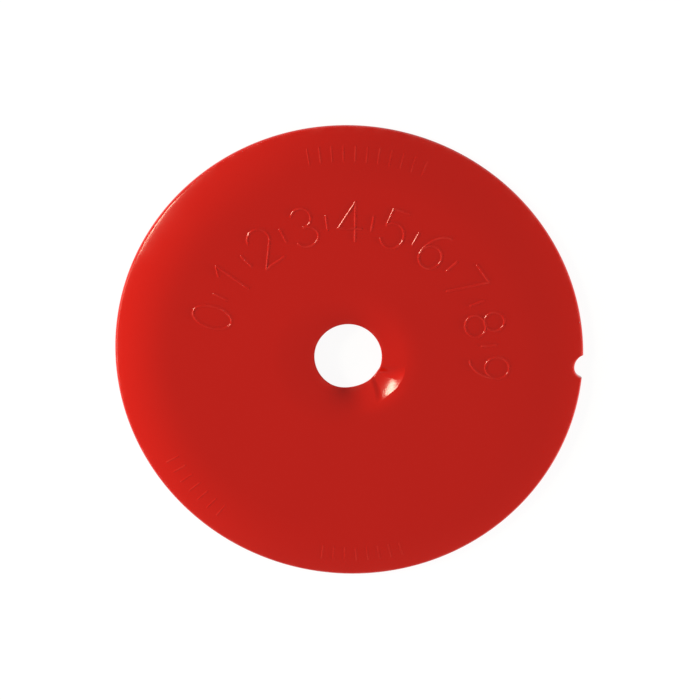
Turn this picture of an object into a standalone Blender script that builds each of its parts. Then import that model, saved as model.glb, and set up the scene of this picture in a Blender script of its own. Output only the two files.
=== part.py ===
"""Surveyor's marker disc: a thin dished washer of glossy red plastic, moulded in one piece.

A spike or a length of reinforcing bar goes through the hole in the middle and holds the disc down.
The flat top is sunk to a bowl round the hole and turned down towards the rim, which is the foot that
the disc lies on. One half-round notch is cut out of the rim.

Lengths are in metres and angles in radians. +Z is up, the disc lies on Z = 0 with its crown up, the
hole is on the Z axis, and +X points at the side that has the notch.
"""
import math

import bmesh
import bpy

MM = 0.001

# Driving dimensions of the disc
DISC_DIAMETER = 88.9 * MM
WALL = 2.0 * MM
HOLE_DIAMETER = 12.7 * MM

# The rim: how wide the turned-down band is, how steep it gets, and the flat ring it stands on
RIM_WIDTH = 11.4 * MM
RIM_SLOPE = math.radians(25.0)
FOOT_WIDTH = 1.0 * MM
RIM_EDGE_RADIUS = 0.4 * MM

# The bowl round the hole: its width from the hole to the flat top, its straight slope, the shoulder
# that rolls over into the flat top, and the rounding of the hole's upper edge
BOWL_WIDTH = 8.05 * MM
BOWL_SLOPE = math.radians(12.0)
SHOULDER_RADIUS = 19.7 * MM
HOLE_EDGE_RADIUS = 0.9 * MM

# The notch: its circle, how deep it bites into the rim, and its direction from +X about +Z
NOTCH_RADIUS = 2.45 * MM
NOTCH_DEPTH = 1.6 * MM
NOTCH_ANGLE = math.radians(-3.2)

# Facets: segments round the disc and the notch, steps along the long and the short arcs
DISC_SEGMENTS = 96
NOTCH_SEGMENTS = 40
LONG_ARC_STEPS = 6
SHORT_ARC_STEPS = 3
SHARP_ANGLE = math.radians(35.0)

# How far the notch's cutter stands out above and below the disc
CUTTER_MARGIN = 2.0 * MM

# Red plastic with a gloss, as linear colour
PLASTIC_RED = (0.470, 0.0170, 0.0112, 1.0)
PLASTIC_ROUGHNESS = 0.25


def clear_scene():
    """Remove what the scene holds, so that the script can be run again."""
    for old_object in list(bpy.data.objects):
        bpy.data.objects.remove(old_object, do_unlink=True)


def arc(centre, radius, start, end, steps):
    """Points of a circle in the (r, z) plane. The angle is the lean from +Z towards +r."""
    points = []
    for step in range(steps + 1):
        lean = start + (end - start) * step / steps
        r = centre[0] + radius * math.sin(lean)
        z = centre[1] + radius * math.cos(lean)
        points.append((r, z))
    return points


def rim_circle():
    """Centre and radius of the rim's upper arc, set so that its underside ends on the foot."""
    radius = RIM_WIDTH / math.sin(RIM_SLOPE)
    centre_r = DISC_DIAMETER / 2 - RIM_WIDTH
    inner_radius = radius - WALL
    inner_reach = RIM_WIDTH - FOOT_WIDTH
    centre_z = -math.sqrt(inner_radius ** 2 - inner_reach ** 2)
    return (centre_r, centre_z), radius


def down_slope(start, r):
    """The point at radius r on the bowl's straight slope, which runs inwards and down from a start."""
    return r, start[1] - (start[0] - r) * math.tan(BOWL_SLOPE)


def rim_points(rim_centre, rim_radius):
    """The rim from the flat top to the foot: upper arc, rounded edge, outer wall and underside."""
    outer = DISC_DIAMETER / 2
    edge_r = outer - RIM_EDGE_RADIUS
    inside = rim_radius - RIM_EDGE_RADIUS
    edge_lean = math.asin((edge_r - rim_centre[0]) / inside)
    edge_centre = (edge_r, rim_centre[1] + inside * math.cos(edge_lean))
    points = arc(rim_centre, rim_radius, 0.0, edge_lean, LONG_ARC_STEPS)
    points += arc(edge_centre, RIM_EDGE_RADIUS, edge_lean, math.pi / 2, SHORT_ARC_STEPS)[1:]
    points.append((outer, 0.0))
    under_radius = rim_radius - WALL
    foot_lean = math.asin((outer - FOOT_WIDTH - rim_centre[0]) / under_radius)
    points += arc(rim_centre, under_radius, foot_lean, 0.0, LONG_ARC_STEPS)
    return points


def bowl_points(top):
    """The bowl from the flat underside, through the hole, up to the flat top."""
    hole_r = HOLE_DIAMETER / 2
    shoulder_centre = (hole_r + BOWL_WIDTH, top - SHOULDER_RADIUS)

    # The underside keeps the wall's thickness: a shoulder about the same centre, then the slope
    under = arc(shoulder_centre, SHOULDER_RADIUS - WALL, 0.0, -BOWL_SLOPE, LONG_ARC_STEPS)
    under.append(down_slope(under[-1], hole_r))

    # The hole's upper edge is rounded, tangent to the hole's wall and to the slope
    shoulder = arc(shoulder_centre, SHOULDER_RADIUS, -BOWL_SLOPE, 0.0, LONG_ARC_STEPS)
    edge_r = hole_r + HOLE_EDGE_RADIUS
    touch_r, touch_z = down_slope(shoulder[0], edge_r - HOLE_EDGE_RADIUS * math.sin(BOWL_SLOPE))
    edge_centre = (edge_r, touch_z - HOLE_EDGE_RADIUS * math.cos(BOWL_SLOPE))
    edge = arc(edge_centre, HOLE_EDGE_RADIUS, -math.pi / 2, -BOWL_SLOPE, LONG_ARC_STEPS)
    return under + edge + shoulder


def red_plastic():
    """Glossy moulded plastic in one colour all through."""
    material = bpy.data.materials.new("red_plastic")
    material.use_nodes = True
    shader = material.node_tree.nodes["Principled BSDF"]
    shader.inputs["Base Color"].default_value = PLASTIC_RED
    shader.inputs["Roughness"].default_value = PLASTIC_ROUGHNESS
    shader.inputs["Metallic"].default_value = 0.0
    material.diffuse_color = PLASTIC_RED
    return material


def turned_object(name, points):
    """Turn a closed outline in the (r, z) plane once round the Z axis."""
    shape = bmesh.new()
    corners = [shape.verts.new((r, 0.0, z)) for r, z in points]
    outline = [shape.edges.new((corners[i - 1], corners[i])) for i in range(len(corners))]
    bmesh.ops.spin(
        shape,
        geom=corners + outline,
        cent=(0.0, 0.0, 0.0),
        axis=(0.0, 0.0, 1.0),
        angle=math.tau,
        steps=DISC_SEGMENTS,
        use_merge=True,
    )
    bmesh.ops.recalc_face_normals(shape, faces=shape.faces)
    mesh = bpy.data.meshes.new(name)
    shape.to_mesh(mesh)
    shape.free()
    turned = bpy.data.objects.new(name, mesh)
    bpy.context.scene.collection.objects.link(turned)
    return turned


def notch_cutter(top):
    """An upright round bar that bites the notch out of the rim."""
    height = top + 2 * CUTTER_MARGIN
    shape = bmesh.new()
    bmesh.ops.create_cone(
        shape,
        cap_ends=True,
        segments=NOTCH_SEGMENTS,
        radius1=NOTCH_RADIUS,
        radius2=NOTCH_RADIUS,
        depth=height,
    )
    mesh = bpy.data.meshes.new("notch_cutter")
    shape.to_mesh(mesh)
    shape.free()
    cutter = bpy.data.objects.new("notch_cutter", mesh)
    bpy.context.scene.collection.objects.link(cutter)
    reach = DISC_DIAMETER / 2 - NOTCH_DEPTH + NOTCH_RADIUS
    cutter.location = (reach * math.cos(NOTCH_ANGLE), reach * math.sin(NOTCH_ANGLE), top / 2)
    cutter.rotation_euler = (0.0, 0.0, NOTCH_ANGLE)
    cutter.hide_render = True
    cutter.display_type = "WIRE"
    return cutter


def make_marker_disc():
    """The whole object: one turned plastic disc with its notch cut out."""
    rim_centre, rim_radius = rim_circle()
    top = rim_centre[1] + rim_radius
    disc = turned_object("marker_disc", rim_points(rim_centre, rim_radius) + bowl_points(top))
    disc.data.materials.append(red_plastic())
    cut = disc.modifiers.new("notch", "BOOLEAN")
    cut.operation = "DIFFERENCE"
    cut.solver = "EXACT"
    cut.object = notch_cutter(top)
    disc.data.shade_smooth()
    disc.data.set_sharp_from_angle(angle=SHARP_ANGLE)
    flat_start = HOLE_DIAMETER / 2 + BOWL_WIDTH
    print(f"disc {DISC_DIAMETER / MM:.1f} mm across, {top / MM:.5f} mm high")
    print(f"flat top from radius {flat_start / MM:.2f} to {rim_centre[0] / MM:.2f} mm")
    return disc


clear_scene()
make_marker_disc()
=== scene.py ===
# %% [markdown]
# # A surveyor's marker disc
# This lesson dresses one small object: a thin red plastic saucer that lies crown up on the ground, with
# a spike through its middle, to mark a survey point. It is a single moulding, so nearly all of its looks
# come from one smooth shape, a glossy finish and the way a few low lamps run over them.
# The measured solid is loaded first. It gives the sizes, and everything below is fitted to it.

# %% Load the measured solid
import math

import bpy
import numpy as np
from mathutils import Matrix, Vector


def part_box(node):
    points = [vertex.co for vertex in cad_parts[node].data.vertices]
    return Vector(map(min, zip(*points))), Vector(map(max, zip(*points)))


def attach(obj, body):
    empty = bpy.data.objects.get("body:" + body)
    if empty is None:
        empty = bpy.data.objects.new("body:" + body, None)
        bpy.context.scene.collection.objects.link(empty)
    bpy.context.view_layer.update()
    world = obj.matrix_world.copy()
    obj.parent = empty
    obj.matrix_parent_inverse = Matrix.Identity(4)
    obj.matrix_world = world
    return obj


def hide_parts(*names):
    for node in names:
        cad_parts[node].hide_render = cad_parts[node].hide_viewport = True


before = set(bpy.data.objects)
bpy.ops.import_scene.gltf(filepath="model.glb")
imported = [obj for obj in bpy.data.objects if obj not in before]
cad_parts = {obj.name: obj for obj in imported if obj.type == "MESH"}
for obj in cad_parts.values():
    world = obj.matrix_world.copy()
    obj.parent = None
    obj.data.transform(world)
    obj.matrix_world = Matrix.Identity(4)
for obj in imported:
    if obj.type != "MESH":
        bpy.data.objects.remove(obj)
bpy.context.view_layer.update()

MM = 0.001
disc_low, disc_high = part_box("marker_disc")
DISC_RADIUS = (disc_high.x - disc_low.x) / 2
CREST = disc_high.z
print(f"the solid is {2 * DISC_RADIUS / MM:.1f} mm across and {CREST / MM:.2f} mm high")

# %% [markdown]
# ## The moulding's cross-section
# Cut the disc in half and its cut face is one thin, bent strip. It runs from the rim, which is turned
# down like a saucer's, over a flat top to a bowl round the hole. Each bend is an arc of a circle, so a
# handful of radii and slopes is enough to draw it. The raised marks stand on the sheet, and their tops
# are level with the solid's top, so the sheet itself is thinner by the height of a mark.

# %% Sizes of the cross-section
MARK_HEIGHT = 0.12 * MM
WALL = 2.0 * MM
SHEET = WALL - MARK_HEIGHT
FACE = CREST - MARK_HEIGHT
HOLE_RADIUS = 6.35 * MM
RIM_WIDTH = 11.4 * MM
RIM_SLOPE = math.radians(25.0)
FOOT_WIDTH = 1.0 * MM
RIM_EDGE_RADIUS = 0.9 * MM
RIM_DRAFT = 0.2 * MM
FOOT_EDGE_RADIUS = 0.15 * MM
BOWL_WIDTH = 8.05 * MM
BOWL_SLOPE = math.radians(12.0)
SHOULDER_RADIUS = 19.7 * MM
HOLE_EDGE_RADIUS = 0.3 * MM
HOLE_FLARE = 0.6 * MM

flat_start = HOLE_RADIUS + BOWL_WIDTH
flat_end = DISC_RADIUS - RIM_WIDTH
rim_under_radius = RIM_WIDTH / math.sin(RIM_SLOPE) - WALL
rim_top_radius = rim_under_radius + SHEET
rim_centre_z = FACE - rim_top_radius
print(f"flat top from {flat_start / MM:.2f} to {flat_end / MM:.2f} mm, {FACE / MM:.2f} mm high")

# %% [markdown]
# ## The notch as a limit on the rim
# One half-round bite is missing from the rim. Instead of cutting it out afterwards, the rim is told how
# far out it may reach in each direction: a full radius almost everywhere, and the near side of the
# bite's circle inside it. The columns of the grid crowd together there, so that the bite stays round.

# %% Columns round the disc
NOTCH_RADIUS = 2.45 * MM
NOTCH_DEPTH = 1.6 * MM
NOTCH_ANGLE = math.radians(-3.2)
NOTCH_COLUMNS = 25
COARSE_STEP = math.radians(1.2)
FINE_STEP = math.radians(0.4)
FINE_START = math.radians(-62.0)
FINE_END = math.radians(-8.0)


def spread(start, end, step):
    """Even angles from just after a start up to an end, no further apart than a step."""
    count = math.ceil((end - start) / step)
    return np.linspace(start, end, count + 1)[1:]


def disc_columns():
    """Angles of the grid's columns, and how far out the rim reaches in each.

    In the notch, a point of the bite's circle at turn t is (c - n cos t, n sin t), where n is the bite's
    radius and c its centre's distance from the hole. The bite ends where that point is one disc radius
    out. Outside it the columns reach the full radius, and they stand closer where the bowl has its scoop.
    """
    centre = DISC_RADIUS - NOTCH_DEPTH + NOTCH_RADIUS
    corner = math.acos((centre**2 + NOTCH_RADIUS**2 - DISC_RADIUS**2) / (2 * centre * NOTCH_RADIUS))
    turn = np.linspace(-corner, corner, NOTCH_COLUMNS)
    along = centre - NOTCH_RADIUS * np.cos(turn)
    across = NOTCH_RADIUS * np.sin(turn)
    notch = np.arctan2(across, along) + NOTCH_ANGLE
    before = spread(notch[-1], math.tau + FINE_START, COARSE_STEP)
    fine = spread(math.tau + FINE_START, math.tau + FINE_END, FINE_STEP)
    after = spread(math.tau + FINE_END, math.tau + notch[0], COARSE_STEP)[:-1]
    angles = np.concatenate([notch, before, fine, after])
    reach = np.full(len(angles), DISC_RADIUS)
    reach[:NOTCH_COLUMNS] = np.hypot(along, across)
    return angles, reach


column_angles, rim_reach = disc_columns()
print(f"{len(column_angles)} columns, least reach {rim_reach.min() / MM:.2f} mm")

# %% [markdown]
# ## From arcs to one closed skin
# The strip's outline is a closed loop of arcs and straight runs. Carried once round the axis it becomes a
# grid that closes in both directions, with no seam and no pole. A Screw modifier could turn a plain
# outline too, but here the rim differs from column to column, so the rows are worked out as arrays.

# %% Arcs that may differ from column to column
def as_rows(r, z):
    """Pair r with z in every column, also where one of them is given once for all the columns."""
    every_column = np.zeros((1, len(column_angles)))
    return np.stack(np.broadcast_arrays(r, z, every_column)[:2], axis=-1)


def arc_rows(centre_r, centre_z, radius, start, end, count):
    """Rows of a circle's arc: r = centre + radius sin(lean), z = centre + radius cos(lean).

    The lean is measured from straight up towards the outside. Any value may be one number or one number
    for each column. The last point is left for the next stretch to make.
    """
    step = np.linspace(0.0, 1.0, count, endpoint=False)[:, None]
    lean = np.atleast_1d(start) + (np.atleast_1d(end) - np.atleast_1d(start)) * step
    return as_rows(centre_r + radius * np.sin(lean), centre_z + radius * np.cos(lean))


def line_rows(start, end, count):
    """Rows of a straight run between two (r, z) points, without its last point."""
    step = np.linspace(0.0, 1.0, count, endpoint=False)[:, None]
    r = start[0] + (np.atleast_1d(end[0]) - np.atleast_1d(start[0])) * step
    z = start[1] + (np.atleast_1d(end[1]) - np.atleast_1d(start[1])) * step
    return as_rows(r, z)


# %% [markdown]
# ## The turned-down rim
# The rim is a wide arc that leans over more and more, then a small rounding, a short wall that draws in a
# little so that the piece leaves its mould, and the narrow foot that the disc stands on. A Bevel modifier
# could round the edges, but here each rounding is an arc of its own, and every row bends in with the notch.

# %% The rim's rows
RIM_ARC_ROWS = 22
RIM_EDGE_ROWS = 12
RIM_WALL_ROWS = 3
FOOT_EDGE_ROWS = 3
FOOT_ROWS = 3
RIM_UNDERSIDE_ROWS = 16


def rim_underside(r):
    """Height of the rim's underside: its arc, which stops at the floor."""
    height = rim_centre_z + np.sqrt(rim_under_radius**2 - (r - flat_end) ** 2)
    return np.maximum(height, 0.0)


def rim_rows():
    """Flat top's end, rim arc, rounded edge, outer wall, foot and underside, down to the flat underside."""
    inside = rim_top_radius - RIM_EDGE_RADIUS
    edge_r = rim_reach - RIM_EDGE_RADIUS
    edge_lean = np.arcsin((edge_r - flat_end) / inside)
    edge_z = rim_centre_z + inside * np.cos(edge_lean)
    wall_foot = rim_reach - RIM_DRAFT
    low = rim_underside(wall_foot)
    foot_r = wall_foot - FOOT_EDGE_RADIUS
    foot_z = low + FOOT_EDGE_RADIUS
    foot_end = np.minimum(DISC_RADIUS - FOOT_WIDTH, foot_r - FOOT_EDGE_RADIUS)
    foot_lean = np.arcsin((foot_end - flat_end) / rim_under_radius)
    return [
        arc_rows(flat_end, rim_centre_z, rim_top_radius, 0.0, edge_lean, RIM_ARC_ROWS),
        arc_rows(edge_r, edge_z, RIM_EDGE_RADIUS, edge_lean, math.pi / 2, RIM_EDGE_ROWS),
        line_rows((rim_reach, edge_z), (wall_foot, foot_z), RIM_WALL_ROWS),
        arc_rows(foot_r, foot_z, FOOT_EDGE_RADIUS, math.pi / 2, math.pi, FOOT_EDGE_ROWS),
        line_rows((foot_r, low), (foot_end, rim_underside(foot_end)), FOOT_ROWS),
        arc_rows(flat_end, rim_centre_z, rim_under_radius, foot_lean, 0.0, RIM_UNDERSIDE_ROWS),
    ]


rim = np.concatenate(rim_rows())
print(f"{len(rim)} rows for the rim")

# %% [markdown]
# ## The bowl, deeper on one side
# Round the hole the top sinks into a shallow bowl: a straight slope that rolls over a wide shoulder into
# the flat top. The slope isn't even all round. It is steepest on the side with the scoop, and a little
# flatter on the far side. One smooth share for each column says how much is taken off or put on.

# %% The bowl's height
UNEVEN_SLOPE = math.radians(13.0)
UNEVEN_RADIUS = 11.5 * MM
UNEVEN_SOFTNESS = 1.0 * MM
DEEP_START = math.radians(-18.0)
DEEP_FULL = math.radians(-47.0)
DEEP_WANES = math.radians(-70.0)
DEEP_END = math.radians(-125.0)
FLATTER_START = math.radians(60.0)
FLATTER_FULL = math.radians(150.0)
FLATTER_SHARE = 0.45
slope_start = flat_start - SHOULDER_RADIUS * math.sin(BOWL_SLOPE)
column_turns = (column_angles + math.pi) % math.tau - math.pi


def smooth_step(share):
    """Nought below 0, one above 1, and 3 s^2 - 2 s^3 between them."""
    inside = np.clip(share, 0.0, 1.0)
    return inside**2 * (3 - 2 * inside)


def soft_positive(value, softness):
    """The positive part of a value, rounded at nought: (v + sqrt(v^2 + softness^2)) / 2."""
    return (value + np.sqrt(value**2 + softness**2)) / 2


def plain_height(r):
    """Height of the even bowl: the shoulder's arc, and inside it the straight slope down to the hole."""
    on_arc = np.maximum(r, slope_start)
    arc = FACE - SHOULDER_RADIUS + np.sqrt(SHOULDER_RADIUS**2 - (flat_start - on_arc) ** 2)
    return arc - np.maximum(slope_start - r, 0.0) * math.tan(BOWL_SLOPE)


def uneven_share():
    """For each column, how much of the extra slope it has: one where deep, below nought where flatter."""
    comes = smooth_step((DEEP_START - column_turns) / (DEEP_START - DEEP_FULL))
    goes = smooth_step((column_turns - DEEP_END) / (DEEP_WANES - DEEP_END))
    far = smooth_step((np.abs(column_turns) - FLATTER_START) / (FLATTER_FULL - FLATTER_START))
    return comes * goes - FLATTER_SHARE * far


def bowl_height(r):
    """Height of the bowl in each column: the even bowl, less that column's share of the extra slope."""
    extra = math.tan(UNEVEN_SLOPE) * soft_positive(UNEVEN_RADIUS - r, UNEVEN_SOFTNESS)
    return plain_height(r) - uneven_share() * extra


print(f"the even bowl is {(FACE - plain_height(HOLE_RADIUS)) / MM:.2f} mm deep at the hole")

# %% [markdown]
# ## The scoop
# Where the deep side begins, a little chute runs out from the hole, narrow at the hole and as wide as a
# fingertip at its outer lip. Its floor is steep and slightly hollow, and there a lamp's reflection gathers
# into a bright spot. A sculpted dent would do, but a formula keeps it crisp: the floor is a circle's arc,
# and the skin follows whichever is lower, the arc or the bowl.

# %% The scoop's depth
SCOOP_LIP_RADIUS = 11.1 * MM
SCOOP_SLOPE = math.radians(36.8)
SCOOP_RADIUS = 15.0 * MM
SCOOP_LIP_SOFTNESS = 0.04 * MM
LOW_SIDE_AT_HOLE = math.radians(-46.0)
LOW_SIDE_AT_LIP = math.radians(-58.0)
LOW_SIDE_FADE = math.radians(9.0)
HIGH_SIDE_AT_HOLE = math.radians(-25.0)
HIGH_SIDE_AT_LIP = math.radians(-15.0)
HIGH_SIDE_FADE = math.radians(20.0)


def scoop_window(r):
    """One inside the scoop and nought outside it, with a smooth step centred on each side.

    Both sides are straight lines in angle and radius, which open out from the hole to the lip.
    """
    share = np.clip((r - HOLE_RADIUS) / (SCOOP_LIP_RADIUS - HOLE_RADIUS), 0.0, 1.0)
    low = LOW_SIDE_AT_HOLE + (LOW_SIDE_AT_LIP - LOW_SIDE_AT_HOLE) * share
    high = HIGH_SIDE_AT_HOLE + (HIGH_SIDE_AT_LIP - HIGH_SIDE_AT_HOLE) * share
    past_low = smooth_step((column_turns - low) / LOW_SIDE_FADE + 0.5)
    return past_low * smooth_step((high - column_turns) / HIGH_SIDE_FADE + 0.5)


def scoop_depth(r):
    """How far the scoop lies below the bowl at radius r, for each column.

    The scoop's floor is a circle's arc that comes up to the even bowl at the lip with the scoop's slope.
    Its depth is the soft positive part of the bowl's height less the arc's, inside the scoop's window.
    """
    centre_r = SCOOP_LIP_RADIUS - SCOOP_RADIUS * math.sin(SCOOP_SLOPE)
    centre_z = plain_height(SCOOP_LIP_RADIUS) + SCOOP_RADIUS * math.cos(SCOOP_SLOPE)
    floor_z = centre_z - np.sqrt(SCOOP_RADIUS**2 - (r - centre_r) ** 2)
    return soft_positive(bowl_height(r) - floor_z, SCOOP_LIP_SOFTNESS) * scoop_window(r)


print(f"the scoop is {scoop_depth(HOLE_RADIUS).max() / MM:.2f} mm deep at the hole")

# %% [markdown]
# ## Rows of the bowl, above and below
# The grid's rows stand close together at the scoop's lip, so that its crease stays crisp. Underneath, the
# sheet keeps its thickness on the whole and follows the uneven forms by half, as a moulded sheet does. The
# hole is narrowest at its rounded upper edge and opens out below, so from above its wall stays hidden.

# %% The bowl's rows
LIP_INSIDE = 0.5 * MM
LIP_OUTSIDE = 0.4 * MM
UNDERSIDE_SHARE = 0.5
FLAT_ROWS = 12
UNDER_SHOULDER_ROWS = 8
UNDER_SLOPE_ROWS = 11
HOLE_WALL_ROWS = 4
HOLE_EDGE_ROWS = 10
SLOPE_ROWS = 24
LIP_ROWS = 16
SHOULDER_ROWS = 10


def top_rows(start_r, end_r, count):
    """Rows of the bowl's upper side between two radii, without the last one."""
    r = np.linspace(start_r, end_r, count, endpoint=False)[:, None]
    return as_rows(r, bowl_height(r) - scoop_depth(r))


def under_height(r):
    """Height of the slope's underside: one sheet below the even bowl, less a share of what is uneven."""
    uneven = plain_height(r) - bowl_height(r) + scoop_depth(r)
    return plain_height(r) - SHEET / math.cos(BOWL_SLOPE) - UNDERSIDE_SHARE * uneven


def bowl_rows():
    """Flat underside, underside of the shoulder and slope, hole, slope, shoulder and flat top."""
    under_radius = SHOULDER_RADIUS - SHEET
    flare_r = HOLE_RADIUS + HOLE_FLARE
    under_start = flat_start - under_radius * math.sin(BOWL_SLOPE)
    under_r = np.linspace(under_start, flare_r, UNDER_SLOPE_ROWS, endpoint=False)[:, None]

    edge_r = HOLE_RADIUS + HOLE_EDGE_RADIUS
    edge_touch = edge_r - HOLE_EDGE_RADIUS * math.sin(BOWL_SLOPE)
    edge_z = bowl_height(edge_touch) - scoop_depth(edge_touch) - HOLE_EDGE_RADIUS * math.cos(BOWL_SLOPE)
    lip_start = SCOOP_LIP_RADIUS - LIP_INSIDE
    lip_end = SCOOP_LIP_RADIUS + LIP_OUTSIDE
    return [
        line_rows((flat_end, FACE - SHEET), (flat_start, FACE - SHEET), FLAT_ROWS),
        arc_rows(flat_start, FACE - SHOULDER_RADIUS, under_radius, 0.0, -BOWL_SLOPE, UNDER_SHOULDER_ROWS),
        as_rows(under_r, under_height(under_r)),
        line_rows((flare_r, under_height(flare_r)), (HOLE_RADIUS, edge_z), HOLE_WALL_ROWS),
        arc_rows(edge_r, edge_z, HOLE_EDGE_RADIUS, -math.pi / 2, -BOWL_SLOPE, HOLE_EDGE_ROWS),
        top_rows(edge_touch, lip_start, SLOPE_ROWS),
        top_rows(lip_start, lip_end, LIP_ROWS),
        top_rows(lip_end, flat_start, SHOULDER_ROWS),
        line_rows((flat_start, FACE), (flat_end, FACE), FLAT_ROWS),
    ]


bowl = np.concatenate(bowl_rows())
print(f"{len(bowl)} rows for the bowl and the flat ring round it")

# %% [markdown]
# ## The skin as a mesh
# The rows are stacked, turned into points and joined by four-cornered faces that wrap round both ways, so
# the skin has no edge at all. Faces that meet at more than a set angle keep a sharp edge between them.

# %% Put the skin into a mesh
SKIN_SHARP_ANGLE = math.radians(40.0)


def closed_grid_faces(rows, columns):
    """Four-cornered faces of a grid that joins up with itself along its rows and its columns."""
    index = np.arange(rows * columns).reshape(rows, columns)
    below = np.roll(index, -1, axis=0)
    corners = [index, below, np.roll(below, -1, axis=1), np.roll(index, -1, axis=1)]
    return np.stack(corners, axis=-1).reshape(-1, 4)


def add_mesh(name, vertices, faces, sharp_angle):
    """A shaded mesh object at the origin, from an array of points and a list of faces."""
    mesh = bpy.data.meshes.new(name)
    mesh.from_pydata(vertices.tolist(), [], faces)
    mesh.validate()
    mesh.shade_smooth()
    mesh.set_sharp_from_angle(angle=sharp_angle)
    piece = bpy.data.objects.new(name, mesh)
    bpy.context.scene.collection.objects.link(piece)
    return piece


profile = np.concatenate([rim, bowl])
skin_points = np.stack(
    [
        profile[..., 0] * np.cos(column_angles),
        profile[..., 0] * np.sin(column_angles),
        profile[..., 1],
    ],
    axis=-1,
)
skin_faces = closed_grid_faces(*profile.shape[:2])
disc_skin = add_mesh("disc_skin", skin_points.reshape(-1, 3), skin_faces.tolist(), SKIN_SHARP_ANGLE)
print(f"disc skin: {profile.shape[0]} rows by {profile.shape[1]} columns")

# %% [markdown]
# ## Raised marks
# The real face has thin raised strokes, formed by grooves cut into the mould. Here they are the plain
# numbers and ticks of a dial. Each stroke is a low, round-backed ridge: a bell-shaped section carried
# along the stroke's path, with its ends domed over. A Text object would give flat slabs with hard
# edges, and it is the round back that catches the lamp as a thin glint.

# %% A ridge along a path
SECTION_POINTS = 9
CAP_STEPS = 5
CAP_TURN = math.radians(80.0)
ROOT_DEPTH = 0.3 * MM
RIDGE_SHARP_ANGLE = math.radians(60.0)


def ridge(path, normals, half_width, height):
    """A closed ridge: height times the squared cosine of the distance from the path, in quarter turns.

    Each section lies across the path, from one foot of the ridge to the other. At both ends the sections
    narrow as the cosine of a quarter turn and move on as its sine, so that the ends are domes. The body
    goes down to a root inside the sheet.
    """
    tangents = np.gradient(path, axis=0)
    tangents /= np.linalg.norm(tangents, axis=1, keepdims=True)
    cap = np.linspace(CAP_TURN, 0.0, CAP_STEPS + 1)[:-1]
    turn = np.concatenate([cap, np.zeros(len(path)), cap[::-1]])
    ahead = np.concatenate([-np.sin(cap), np.zeros(len(path)), np.sin(cap[::-1])]) * half_width
    place = np.clip(np.arange(len(turn)) - CAP_STEPS, 0, len(path) - 1)
    middle = path[place] + tangents[place] * ahead[:, None]
    side = np.cross(tangents[place], normals[place])
    share = np.linspace(-1.0, 1.0, SECTION_POINTS)
    across = share[None, :] * half_width * np.cos(turn)[:, None]
    distance = np.minimum(np.hypot(across, ahead[:, None]) / half_width, 1.0)
    rise = height * np.cos(distance * math.pi / 2) ** 2
    across = np.concatenate([across, across[:, -1:], across[:, :1]], axis=1)
    rise = np.concatenate([rise, np.full((len(turn), 2), -ROOT_DEPTH)], axis=1)
    return middle[:, None] + side[:, None] * across[..., None] + normals[place][:, None] * rise[..., None]


def ridge_faces(rows, columns, first):
    """Faces of one ridge whose points start at the given index: its sides and its two ends."""
    index = np.arange(rows * columns).reshape(rows, columns) + first
    around = np.roll(index, -1, axis=1)
    sides = np.stack([index[:-1], index[1:], around[1:], around[:-1]], axis=-1).reshape(-1, 4)
    return sides.tolist() + [index[0].tolist(), index[-1][::-1].tolist()]


def add_ridges(name, ridges):
    """One mesh object that holds all the given ridges."""
    faces = []
    first = 0
    for points in ridges:
        faces += ridge_faces(points.shape[0], points.shape[1], first)
        first += points.shape[0] * points.shape[1]
    vertices = np.concatenate([points.reshape(-1, 3) for points in ridges])
    return add_mesh(name, vertices, faces, RIDGE_SHARP_ANGLE)


# %% [markdown]
# ## Digits from bows and bars
# A mould cutter engraves a digit with a few sweeps of a round tool. Each digit here is the same: a list of
# oval bows and straight bars in a box one unit high. That keeps every stroke a clean path for a ridge.

# %% Strokes of the numbers
NUMBER_HEIGHT = 7.5 * MM
NUMBER_BASE = 23.0 * MM
NUMBER_HALF_WIDTH = 0.26 * MM
DIGIT_WIDTH = 0.56
CURVE_POINTS = 40
STRAIGHT_POINTS = 8


def bow(x, y, width, height, start, end):
    """Points of an oval arc, with angles in degrees, in units of the number's height."""
    turn = np.radians(np.linspace(start, end, CURVE_POINTS))
    return np.stack([x + width * np.cos(turn), y + height * np.sin(turn)], axis=-1)


def bar(x0, y0, x1, y1):
    """Points of a straight stroke, in units of the number's height."""
    step = np.linspace(0.0, 1.0, STRAIGHT_POINTS)[:, None]
    return np.array([x0, y0]) * (1 - step) + np.array([x1, y1]) * step


two_neck = np.concatenate([bow(0.28, 0.72, 0.28, 0.28, 165, -35), bar(0.49, 0.54, 0.0, 0.0)])
six = [bow(0.28, 0.30, 0.28, 0.30, 0, 360), bow(0.46, 0.30, 0.46, 0.70, 180, 95)]
DIGITS = [
    [bow(0.28, 0.5, 0.28, 0.5, 0, 360)],
    [bar(0.30, 0.0, 0.30, 1.0), bar(0.30, 1.0, 0.12, 0.80)],
    [two_neck, bar(0.0, 0.0, 0.56, 0.0)],
    [bow(0.27, 0.75, 0.25, 0.25, 155, -90), bow(0.27, 0.25, 0.29, 0.25, 90, -155)],
    [bar(0.42, 1.0, 0.0, 0.32), bar(0.0, 0.32, 0.58, 0.32), bar(0.42, 1.0, 0.42, 0.0)],
    [bar(0.50, 1.0, 0.08, 1.0), bar(0.08, 1.0, 0.05, 0.54), bow(0.27, 0.33, 0.29, 0.33, 140, -150)],
    six,
    [bar(0.02, 1.0, 0.56, 1.0), bar(0.56, 1.0, 0.18, 0.0)],
    [bow(0.28, 0.75, 0.24, 0.25, 0, 360), bow(0.28, 0.26, 0.28, 0.26, 0, 360)],
    [np.array([DIGIT_WIDTH, 1.0]) - stroke for stroke in six],
]
print(f"{sum(len(strokes) for strokes in DIGITS)} strokes in {len(DIGITS)} digits")

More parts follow.
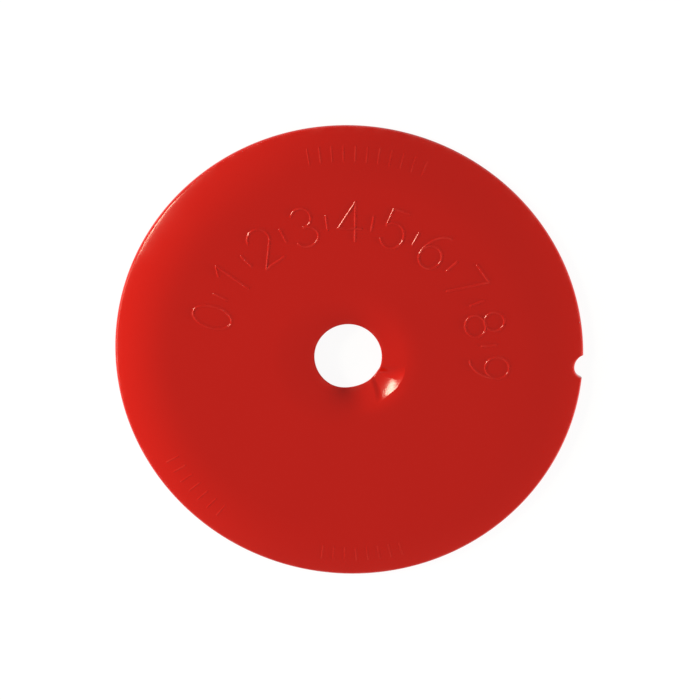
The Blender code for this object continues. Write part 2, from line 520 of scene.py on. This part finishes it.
# %% [markdown]
# ## Numbers and ticks on the face
# The raised marks follow an arc over the upper half of the face, with their feet towards the hole. Ten
# digits and the ticks between them fill it evenly. They could be curved with a Curve modifier, but a
# digit is so small next to the arc that setting each one flat at its own angle looks the same.

# %% Set the numbers and ticks round the upper half of the face
FIRST_NUMBER = math.radians(162.3)
LAST_NUMBER = math.radians(-3.8)
TICK_INNER = 25.4 * MM
TICK_OUTER = 28.1 * MM
UP = np.array([0.0, 0.0, 1.0])


def outward_at(angle):
    """The direction straight out from the hole at an angle from +X."""
    return np.array([math.cos(angle), math.sin(angle), 0.0])


def digit_path(stroke, angle):
    """Lay a digit's stroke flat on the face, its foot towards the hole, centred on an angle.

    A point x across and y up the digit goes to y along the outward direction and x to its right.
    """
    rightward = np.array([math.sin(angle), -math.cos(angle), 0.0])
    across = (stroke[:, :1] - DIGIT_WIDTH / 2) * NUMBER_HEIGHT
    up = NUMBER_BASE + stroke[:, 1:] * NUMBER_HEIGHT
    return outward_at(angle) * up + rightward * across + UP * FACE


def tick_path(angle):
    """A short straight path on the face, out from the hole at an angle."""
    r = np.linspace(TICK_INNER, TICK_OUTER, STRAIGHT_POINTS)[:, None]
    return outward_at(angle) * r + UP * FACE


number_angles = np.linspace(FIRST_NUMBER, LAST_NUMBER, len(DIGITS))
tick_angles = (number_angles[1:] + number_angles[:-1]) / 2
face_paths = []
for angle, strokes in zip(number_angles, DIGITS):
    face_paths += [digit_path(stroke, angle) for stroke in strokes]
face_paths += [tick_path(angle) for angle in tick_angles]

number_ridges = []
for path in face_paths:
    upward = np.tile(UP, (len(path), 1))
    number_ridges.append(ridge(path, upward, NUMBER_HALF_WIDTH, MARK_HEIGHT))

raised_numbers = add_ridges("raised_numbers", number_ridges)
print(f"{len(number_ridges)} ridges on the face")

# %% [markdown]
# ## Fine ticks on the rim
# Three groups of still finer marks sit on the slope of the rim. They stand square to the slope, so each
# ridge gets the rim's own outward direction instead of straight up.

# %% Fine ticks on the turned-down rim
RIM_TICK_INNER = 38.2 * MM
RIM_TICK_OUTER = 40.9 * MM
RIM_TICK_HALF_WIDTH = 0.22 * MM
RIM_TICK_HEIGHT = 0.05 * MM

# For each group: its first and last angle in degrees, and how many ticks it has
RIM_TICK_GROUPS = [(100.0, 68.0, 11), (211.0, 231.0, 7), (262.0, 284.0, 8)]


def rim_tick(angle):
    """A short ridge straight out over the rim's arc, standing square to it."""
    outward = outward_at(angle)
    r = np.linspace(RIM_TICK_INNER, RIM_TICK_OUTER, STRAIGHT_POINTS)[:, None]
    lean = np.arcsin((r - flat_end) / rim_top_radius)
    path = outward * r + UP * (rim_centre_z + rim_top_radius * np.cos(lean))
    normals = outward * np.sin(lean) + UP * np.cos(lean)
    return ridge(path, normals, RIM_TICK_HALF_WIDTH, RIM_TICK_HEIGHT)


rim_tick_angles = np.concatenate([np.radians(np.linspace(*group)) for group in RIM_TICK_GROUPS])
rim_ticks = add_ridges("rim_ticks", [rim_tick(angle) for angle in rim_tick_angles])
print(f"{len(rim_tick_angles)} fine ticks on the rim")

# %% [markdown]
# ## Where hands and grit have rubbed
# A disc that is carried in a bag with others wears first where it stands proud: along the rim, round the
# hole and on the backs of the marks. The mesh itself knows where that is, so each point is given a number
# named rub, from nought to one, and the finish reads it. It stays right from every side.

# %% Mark the rubbed edges
RUB_REACH = 0.7 * MM


def store_rub(piece, values):
    """Keep one number for each point of a piece's mesh, under the name rub."""
    rub = piece.data.attributes.new("rub", "FLOAT", "POINT")
    rub.data.foreach_set("value", np.clip(values, 0.0, 1.0).astype(np.float32).ravel())


def mesh_points(piece):
    """Distance from the axis and height of every point of a piece's mesh."""
    flat = np.empty(3 * len(piece.data.vertices))
    piece.data.vertices.foreach_get("co", flat)
    points = flat.reshape(-1, 3)
    return np.hypot(points[:, 0], points[:, 1]), points[:, 2]


skin_r = profile[..., 0]
rim_rub = np.exp(-(((rim_reach - skin_r) / RUB_REACH) ** 2))
hole_rub = np.exp(-(((skin_r - HOLE_RADIUS) / RUB_REACH) ** 2))
store_rub(disc_skin, np.maximum(rim_rub, hole_rub))

number_z = mesh_points(raised_numbers)[1]
store_rub(raised_numbers, (number_z - FACE) / MARK_HEIGHT)

tick_r, tick_z = mesh_points(rim_ticks)
rim_z = rim_centre_z + np.sqrt(rim_top_radius**2 - (tick_r - flat_end) ** 2)
store_rub(rim_ticks, (tick_z - rim_z) / RIM_TICK_HEIGHT)
print(f"{(rim_rub > 0.5).mean():.2f} of the skin's points lie on the rubbed rim")

# %% [markdown]
# ## Glossy red plastic
# The plastic is red all through, so there is no paint to chip. What keeps it from looking like a flat
# colour is slight: the melt's cloudy tone, a haze of handling in the gloss, fine rubs in the surface, and
# edges that are paler and duller where they are worn. They are worked out from Object coordinates, which
# are the disc's own metres, and from the rub numbers, and they are built once as a node group, because
# the disc and its marks share them.

# %% The shared moulding group
PLASTIC_RED = (0.460, 0.0045, 0.0004, 1.0)
PLASTIC_PALE = (0.480, 0.0055, 0.0008, 1.0)
PLASTIC_WORN = (0.520, 0.0300, 0.0200, 1.0)

# Noise scales are per metre, and the changes of roughness are on the shader's scale from 0 to 1
PATCH_SCALE = 420.0
MOST_WEAR = 0.45
CLOUD_SCALE = 60.0
HAZE_SCALE = 140.0
LEAST_HAZE = -0.02
MOST_HAZE = 0.04
WORN_HAZE = 0.18
RUB_SCALE = 220.0
RUB_STRETCH = 14.0
RUB_TURN = math.radians(25.0)


def add_noise(group, place, scale, detail):
    """A noise texture of a given scale in a node group, read from a place socket."""
    noise = group.nodes.new("ShaderNodeTexNoise")
    noise.inputs["Scale"].default_value = scale
    noise.inputs["Detail"].default_value = detail
    group.links.new(place, noise.inputs["Vector"])
    return noise.outputs["Fac"]


def add_range(group, value, low, high, to_low, to_high):
    """Stretch a value from one range to another, and keep it inside."""
    stretch = group.nodes.new("ShaderNodeMapRange")
    stretch.inputs["From Min"].default_value = low
    stretch.inputs["From Max"].default_value = high
    stretch.inputs["To Min"].default_value = to_low
    stretch.inputs["To Max"].default_value = to_high
    group.links.new(value, stretch.inputs["Value"])
    return stretch.outputs["Result"]


def add_math(group, operation, first, second):
    """Join two values by a sum or a product."""
    node = group.nodes.new("ShaderNodeMath")
    node.operation = operation
    group.links.new(first, node.inputs[0])
    group.links.new(second, node.inputs[1])
    return node.outputs["Value"]


def add_mix(group, share, first, second):
    """Blend two colours by a share."""
    node = group.nodes.new("ShaderNodeMix")
    node.data_type = "RGBA"
    group.links.new(share, node.inputs["Factor"])
    group.links.new(first, node.inputs["A"])
    group.links.new(second, node.inputs["B"])
    return node.outputs["Result"]


def moulding_group():
    """Cloudy tone, gloss haze, fine rubs and worn edges for a moulded plastic."""
    group = bpy.data.node_groups.new("moulded_red", "ShaderNodeTree")
    face = group.interface
    face.new_socket("Red", in_out="INPUT", socket_type="NodeSocketColor")
    face.new_socket("Pale", in_out="INPUT", socket_type="NodeSocketColor")
    face.new_socket("Worn", in_out="INPUT", socket_type="NodeSocketColor")
    face.new_socket("Gloss", in_out="INPUT", socket_type="NodeSocketFloat")
    face.new_socket("Color", in_out="OUTPUT", socket_type="NodeSocketColor")
    face.new_socket("Roughness", in_out="OUTPUT", socket_type="NodeSocketFloat")
    face.new_socket("Rubs", in_out="OUTPUT", socket_type="NodeSocketFloat")
    given = group.nodes.new("NodeGroupInput").outputs
    result = group.nodes.new("NodeGroupOutput").inputs
    place = group.nodes.new("ShaderNodeTexCoord").outputs["Object"]

    rub = group.nodes.new("ShaderNodeAttribute")
    rub.attribute_name = "rub"
    spots = add_noise(group, place, PATCH_SCALE, detail=4.0)
    patches = add_range(group, spots, low=0.42, high=0.66, to_low=0.0, to_high=MOST_WEAR)
    wear = add_math(group, "MULTIPLY", rub.outputs["Fac"], patches)

    cloud = add_noise(group, place, CLOUD_SCALE, detail=3.0)
    tone = add_mix(group, cloud, given["Red"], given["Pale"])
    group.links.new(add_mix(group, wear, tone, given["Worn"]), result["Color"])

    smears = add_noise(group, place, HAZE_SCALE, detail=5.0)
    haze = add_range(group, smears, low=0.3, high=0.7, to_low=LEAST_HAZE, to_high=MOST_HAZE)
    dull = add_range(group, wear, low=0.0, high=1.0, to_low=0.0, to_high=WORN_HAZE)
    hazy = add_math(group, "ADD", given["Gloss"], haze)
    group.links.new(add_math(group, "ADD", hazy, dull), result["Roughness"])

    stretch = group.nodes.new("ShaderNodeMapping")
    stretch.inputs["Rotation"].default_value = (0.0, 0.0, RUB_TURN)
    stretch.inputs["Scale"].default_value = (1.0, RUB_STRETCH, 1.0)
    group.links.new(place, stretch.inputs["Vector"])
    rubs = add_noise(group, stretch.outputs["Vector"], RUB_SCALE, detail=4.0)
    group.links.new(rubs, result["Rubs"])
    return group


moulded_red = moulding_group()
print(f"the moulding group has {len(moulded_red.nodes)} nodes")

# %% [markdown]
# ## Two materials from one group
# The skin and the marks are the same plastic, but the marks are too small to show deep rubs. So each gets
# a material of its own around the shared group. The shader's fixed values, such as how strongly the
# plastic mirrors, are typed straight into it.

# %% The materials
PLASTIC_IOR = 1.45
PLASTIC_ROUGHNESS = 0.14
RUB_STRENGTH = 0.15
FACE_RUB_DEPTH = 0.02 * MM
MARK_RUB_DEPTH = 0.01 * MM


def red_plastic(name, rub_depth):
    """A glossy plastic material that takes its tone, haze, rubs and wear from the moulding group."""
    material = bpy.data.materials.new(name)
    material.use_nodes = True
    nodes = material.node_tree.nodes
    links = material.node_tree.links
    shader = nodes["Principled BSDF"]
    shader.inputs["IOR"].default_value = PLASTIC_IOR
    finish = nodes.new("ShaderNodeGroup")
    finish.node_tree = moulded_red
    finish.inputs["Red"].default_value = PLASTIC_RED
    finish.inputs["Pale"].default_value = PLASTIC_PALE
    finish.inputs["Worn"].default_value = PLASTIC_WORN
    finish.inputs["Gloss"].default_value = PLASTIC_ROUGHNESS
    links.new(finish.outputs["Color"], shader.inputs["Base Color"])
    links.new(finish.outputs["Roughness"], shader.inputs["Roughness"])
    bump = nodes.new("ShaderNodeBump")
    bump.inputs["Strength"].default_value = RUB_STRENGTH
    bump.inputs["Distance"].default_value = rub_depth
    links.new(finish.outputs["Rubs"], bump.inputs["Height"])
    links.new(bump.outputs["Normal"], shader.inputs["Normal"])
    return material


face_plastic = red_plastic("face_plastic", FACE_RUB_DEPTH)
mark_plastic = red_plastic("mark_plastic", MARK_RUB_DEPTH)
disc_skin.data.materials.append(face_plastic)
raised_numbers.data.materials.append(mark_plastic)
rim_ticks.data.materials.append(mark_plastic)
print(f"{face_plastic.name} and {mark_plastic.name} share {moulded_red.name}")

# %% [markdown]
# ## One moulding
# All three meshes are one solid piece of plastic, so they move together with the root of the frame.
# The skin takes the place of the measured solid, which is then hidden.

# %% Tie the pieces to the frame
for piece in (disc_skin, raised_numbers, rim_ticks):
    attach(piece, "root")
    print(f"{piece.name} rides on the root")
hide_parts("marker_disc")

# %% [markdown]
# ## A white floor that keeps its shadow
# The photograph's background is plain white. The floor gives most of that white itself to what looks
# straight at it, and the rest is lit, so the disc still lays a soft shadow on it.

# %% The floor
FLOOR_SIZE = 3.0
PAPER_GREY = (0.80, 0.80, 0.80, 1.0)
SHADE_GREY = (0.10, 0.10, 0.10, 1.0)
FLOOR_GLOW = 0.93
floor_mesh = bpy.data.meshes.new("floor")
half = FLOOR_SIZE / 2
corners = [(-half, -half, 0), (half, -half, 0), (half, half, 0), (-half, half, 0)]
floor_mesh.from_pydata(corners, [], [(0, 1, 2, 3)])
floor = bpy.data.objects.new("floor", floor_mesh)
bpy.context.scene.collection.objects.link(floor)


def white_floor():
    """White paper: lit paper for the light that bounces, mostly glow for what sees it directly."""
    material = bpy.data.materials.new("white_floor")
    material.use_nodes = True
    nodes = material.node_tree.nodes
    links = material.node_tree.links
    nodes.clear()
    output = nodes.new("ShaderNodeOutputMaterial")
    paper = nodes.new("ShaderNodeBsdfDiffuse")
    paper.inputs["Color"].default_value = PAPER_GREY
    shade = nodes.new("ShaderNodeBsdfDiffuse")
    shade.inputs["Color"].default_value = SHADE_GREY
    glow = nodes.new("ShaderNodeEmission")
    glow.inputs["Strength"].default_value = FLOOR_GLOW
    seen = nodes.new("ShaderNodeAddShader")
    links.new(shade.outputs["BSDF"], seen.inputs[0])
    links.new(glow.outputs["Emission"], seen.inputs[1])
    ray = nodes.new("ShaderNodeLightPath")
    mirrored = nodes.new("ShaderNodeMath")
    mirrored.operation = "MAXIMUM"
    links.new(ray.outputs["Is Glossy Ray"], mirrored.inputs[0])
    links.new(ray.outputs["Is Transmission Ray"], mirrored.inputs[1])
    direct = nodes.new("ShaderNodeMath")
    direct.operation = "MAXIMUM"
    links.new(ray.outputs["Is Camera Ray"], direct.inputs[0])
    links.new(mirrored.outputs["Value"], direct.inputs[1])
    mix = nodes.new("ShaderNodeMixShader")
    links.new(direct.outputs["Value"], mix.inputs["Fac"])
    links.new(paper.outputs["BSDF"], mix.inputs[1])
    links.new(seen.outputs["Shader"], mix.inputs[2])
    links.new(mix.outputs["Shader"], output.inputs["Surface"])
    return material


floor.data.materials.append(white_floor())
print(f"floor {FLOOR_SIZE} m wide")

# %% [markdown]
# ## Lamps
# Light that comes in low from the sides runs over the rim and into the bowl and leaves the flat top
# plain. Three soft lamps do this: two low on the left, towards the back and the front, and a very low one
# on the right. They are kept out of reflections, where they would draw pale lines all along the edge. Two
# warm lamps on the left are there to be mirrored: one higher up puts the bright spot into the scoop and a
# thin line on the rim, and a weak low one carries that line on. The rest is an even, faintly warm room light.

# %% Lamps and world
LAMP_DISTANCE = 0.7
WARM = (1.0, 0.86, 0.66)
PLAIN = (1.0, 1.0, 1.0)
ROOM_COLOUR = (1.0, 0.97, 0.90, 1.0)
ROOM_STRENGTH = 0.35


def add_lamp(name, azimuth, elevation, width, height, power, colour=PLAIN):
    """A soft lamp with a flat front that faces the disc's centre and isn't seen itself.

    It stands at an azimuth from +X towards +Y and at an elevation above the floor, both in degrees.
    Its width and height are in metres and its power is in watts.
    """
    turn = math.radians(azimuth)
    lift = math.radians(elevation)
    towards = Vector((math.cos(lift) * math.cos(turn), math.cos(lift) * math.sin(turn), math.sin(lift)))
    lamp = bpy.data.lights.new(name, "AREA")
    lamp.shape = "RECTANGLE"
    lamp.size = width
    lamp.size_y = height
    lamp.energy = power
    lamp.color = colour
    lamp_object = bpy.data.objects.new(name, lamp)
    lamp_object.location = towards * LAMP_DISTANCE
    lamp_object.rotation_mode = "QUATERNION"
    lamp_object.rotation_quaternion = (-towards).to_track_quat("-Z", "Y")
    lamp_object.visible_camera = False
    bpy.context.scene.collection.objects.link(lamp_object)
    return lamp_object


mirrored_lamps = [
    add_lamp("spot_lamp", azimuth=161.0, elevation=34.0, width=0.20, height=0.11, power=2.5, colour=WARM),
    add_lamp("edge_lamp", azimuth=186.0, elevation=17.0, width=0.36, height=0.16, power=0.7, colour=WARM),
]
side_lamps = [
    add_lamp("back_left_lamp", azimuth=128.0, elevation=16.0, width=0.36, height=0.14, power=2.8),
    add_lamp("front_left_lamp", azimuth=215.0, elevation=11.0, width=0.50, height=0.20, power=3.8),
    add_lamp("right_lamp", azimuth=-15.0, elevation=4.0, width=0.24, height=0.09, power=5.6),
]
for side_lamp in side_lamps:
    side_lamp.visible_glossy = False

world = bpy.data.worlds.new("studio")
world.use_nodes = True
background = world.node_tree.nodes["Background"]
background.inputs["Color"].default_value = ROOM_COLOUR
background.inputs["Strength"].default_value = ROOM_STRENGTH
bpy.context.scene.world = world
print(f"{len(mirrored_lamps)} lamps that are mirrored, {len(side_lamps)} that aren't")

# %% [markdown]
# ## Camera
# The disc shows as an oval, so the camera looks down on it at a slant. Its tilt comes from how much the
# oval is squeezed, its distance from how far the hole sits off the oval's middle.

# %% The camera
CAMERA_TILT = math.radians(17.1)
OVAL_LEAN = math.radians(-9.0)
CAMERA_DISTANCE = 0.650
PIXELS_PER_METRE = 5262.0
IMAGE_SIDE = 700
SENSOR_WIDTH = 36.0
HOLE_PIXEL = (348.8, 352.1)

# The disc's own axes as the camera sees them: how far each goes to the right, up and towards the viewer
squeeze = np.array([-math.sin(OVAL_LEAN), math.cos(OVAL_LEAN)])
face_normal = np.append(-math.sin(CAMERA_TILT) * squeeze, math.cos(CAMERA_TILT))
face_right = np.array([face_normal[2], 0.0, -face_normal[0]])
face_right /= np.linalg.norm(face_right)
face_up = np.cross(face_normal, face_right)

# Read by columns, the same numbers are the camera's axes in the disc's frame
image_axes = Matrix(np.stack([face_right, face_up, face_normal]).tolist())
image_right, image_up, towards_camera = image_axes.col
off_centre = Vector((IMAGE_SIDE / 2 - HOLE_PIXEL[0], HOLE_PIXEL[1] - IMAGE_SIDE / 2)) / PIXELS_PER_METRE
aim = image_right * off_centre.x + image_up * off_centre.y

camera_data = bpy.data.cameras.new("camera")
camera_data.sensor_width = SENSOR_WIDTH
camera_data.lens = SENSOR_WIDTH * CAMERA_DISTANCE * PIXELS_PER_METRE / IMAGE_SIDE
camera = bpy.data.objects.new("camera", camera_data)
camera_place = Matrix.Translation(towards_camera * CAMERA_DISTANCE + aim)
camera.matrix_world = camera_place @ image_axes.to_4x4()
bpy.context.scene.collection.objects.link(camera)
bpy.context.scene.camera = camera
bpy.context.scene.view_settings.view_transform = "Standard"
print(f"lens {camera_data.lens:.1f} mm")
